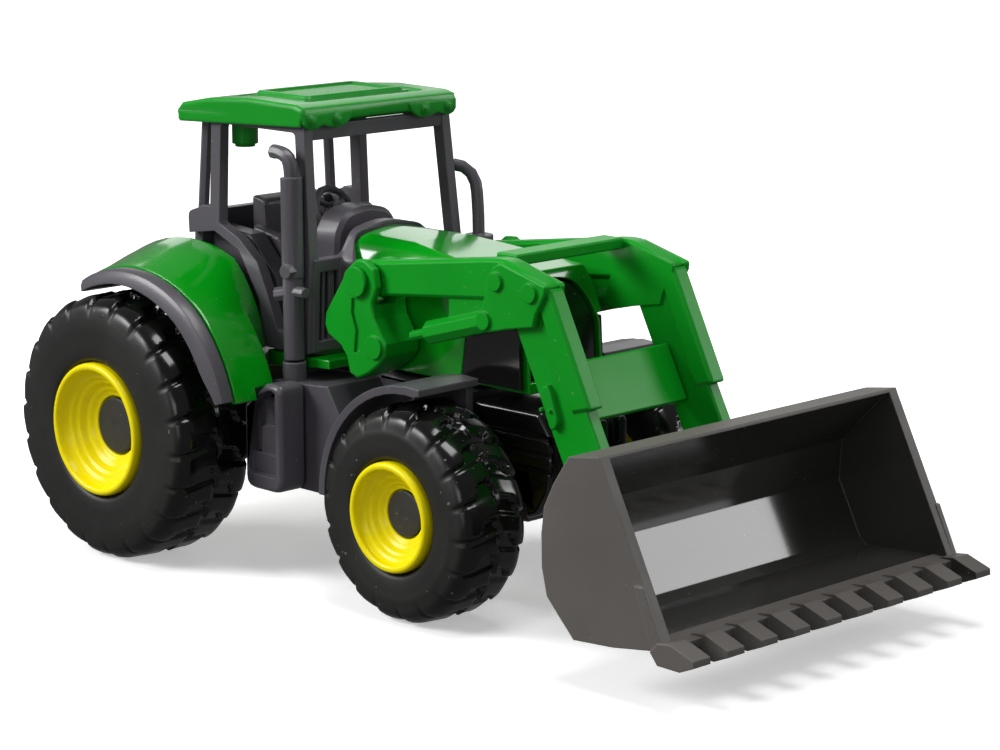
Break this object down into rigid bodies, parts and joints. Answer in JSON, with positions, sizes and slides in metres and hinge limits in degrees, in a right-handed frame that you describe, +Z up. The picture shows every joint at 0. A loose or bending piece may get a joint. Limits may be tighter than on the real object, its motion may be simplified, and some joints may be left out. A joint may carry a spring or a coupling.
{
  "type": "toy front loader tractor",
  "caption": "Toy farm tractor with an open cab, a hinged front loader frame that lifts and a toothed bucket that tilts, on free-rolling wheels with chunky tyres.",
  "frame": {"origin": "middle of the toy's length and width, on the floor under the tyres", "axes": "+X forwards to the bucket, +Y to the toy's left, +Z up"},
  "size_m": [0.1512, 0.0782, 0.0774],
  "materials": {
    "gloss_green": "glossy green body paint",
    "loader_green": "satin green plastic",
    "wheel_yellow": "satin yellow plastic",
    "cab_plastic": "satin purple-grey plastic",
    "grille_black": "glossy black plastic",
    "tyre_rubber": "semi-matt black rubber",
    "bucket_grey": "satin brown-grey plastic",
    "hub_grey": "matt dark grey",
    "pin_steel": "plain drawn steel wire"
  },
  "bodies": {
    "chassis": {"chassis_frame": "cab_plastic", "step_box_right": "cab_plastic", "step_box_left": "cab_plastic", "front_support": "grille_black", "front_fender_right": "cab_plastic", "front_fender_left": "cab_plastic", "rear_fender_right": "gloss_green", "rear_fender_left": "gloss_green", "fender_flare_right": "cab_plastic", "fender_flare_left": "cab_plastic", "hood_shell": "gloss_green", "grille_insert": "grille_black", "grille_side_right": "grille_black", "grille_side_left": "grille_black", "cab_frame": "cab_plastic", "cab_tub": "cab_plastic", "seat": "cab_plastic", "dash_console": "cab_plastic", "steering_wheel": "cab_plastic", "roof": "loader_green", "exhaust_stack": "cab_plastic", "intake_pipe": "cab_plastic", "loader_bracket_right": "loader_green", "loader_bracket_left": "loader_green", "lift_pin_right": "loader_green", "lift_pin_left": "loader_green"},
    "rear_wheelset": {"rear_axle": "pin_steel", "rear_rim_right": "wheel_yellow", "rear_rim_left": "wheel_yellow", "rear_hub_cap_right": "hub_grey", "rear_hub_cap_left": "hub_grey", "rear_tyre_right": "tyre_rubber", "rear_tyre_left": "tyre_rubber"},
    "front_wheelset": {"front_axle": "pin_steel", "front_rim_right": "wheel_yellow", "front_rim_left": "wheel_yellow", "front_hub_cap_right": "hub_grey", "front_hub_cap_left": "hub_grey", "front_tyre_right": "tyre_rubber", "front_tyre_left": "tyre_rubber"},
    "loader": {"boom_right": "loader_green", "boom_left": "loader_green", "bridge_plate": "loader_green", "cross_brace": "loader_green"},
    "bucket": {"bucket_shell": "bucket_grey", "bucket_pin_right": "pin_steel", "bucket_pin_left": "pin_steel"}
  },
  "joints": [
    {"name": "rear_wheels_roll", "type": "hinge", "parent": "chassis", "child": "rear_wheelset", "pos_m": [-0.05339, 0, 0.02224], "axis": [0, 1, 0], "continuous": true},
    {"name": "front_wheels_roll", "type": "hinge", "parent": "chassis", "child": "front_wheelset", "pos_m": [0.00973, 0, 0.0171], "axis": [0, 1, 0], "continuous": true},
    {"name": "loader_lift", "type": "hinge", "parent": "chassis", "child": "loader", "pos_m": [-0.01145, 0, 0.0498], "axis": [0, -1, 0], "range_deg": [-4, 45]},
    {"name": "bucket_tilt", "type": "hinge", "parent": "loader", "child": "bucket", "pos_m": [0.03855, 0, 0.0226], "axis": [0, -1, 0], "range_deg": [-45, 35]}
  ]
}
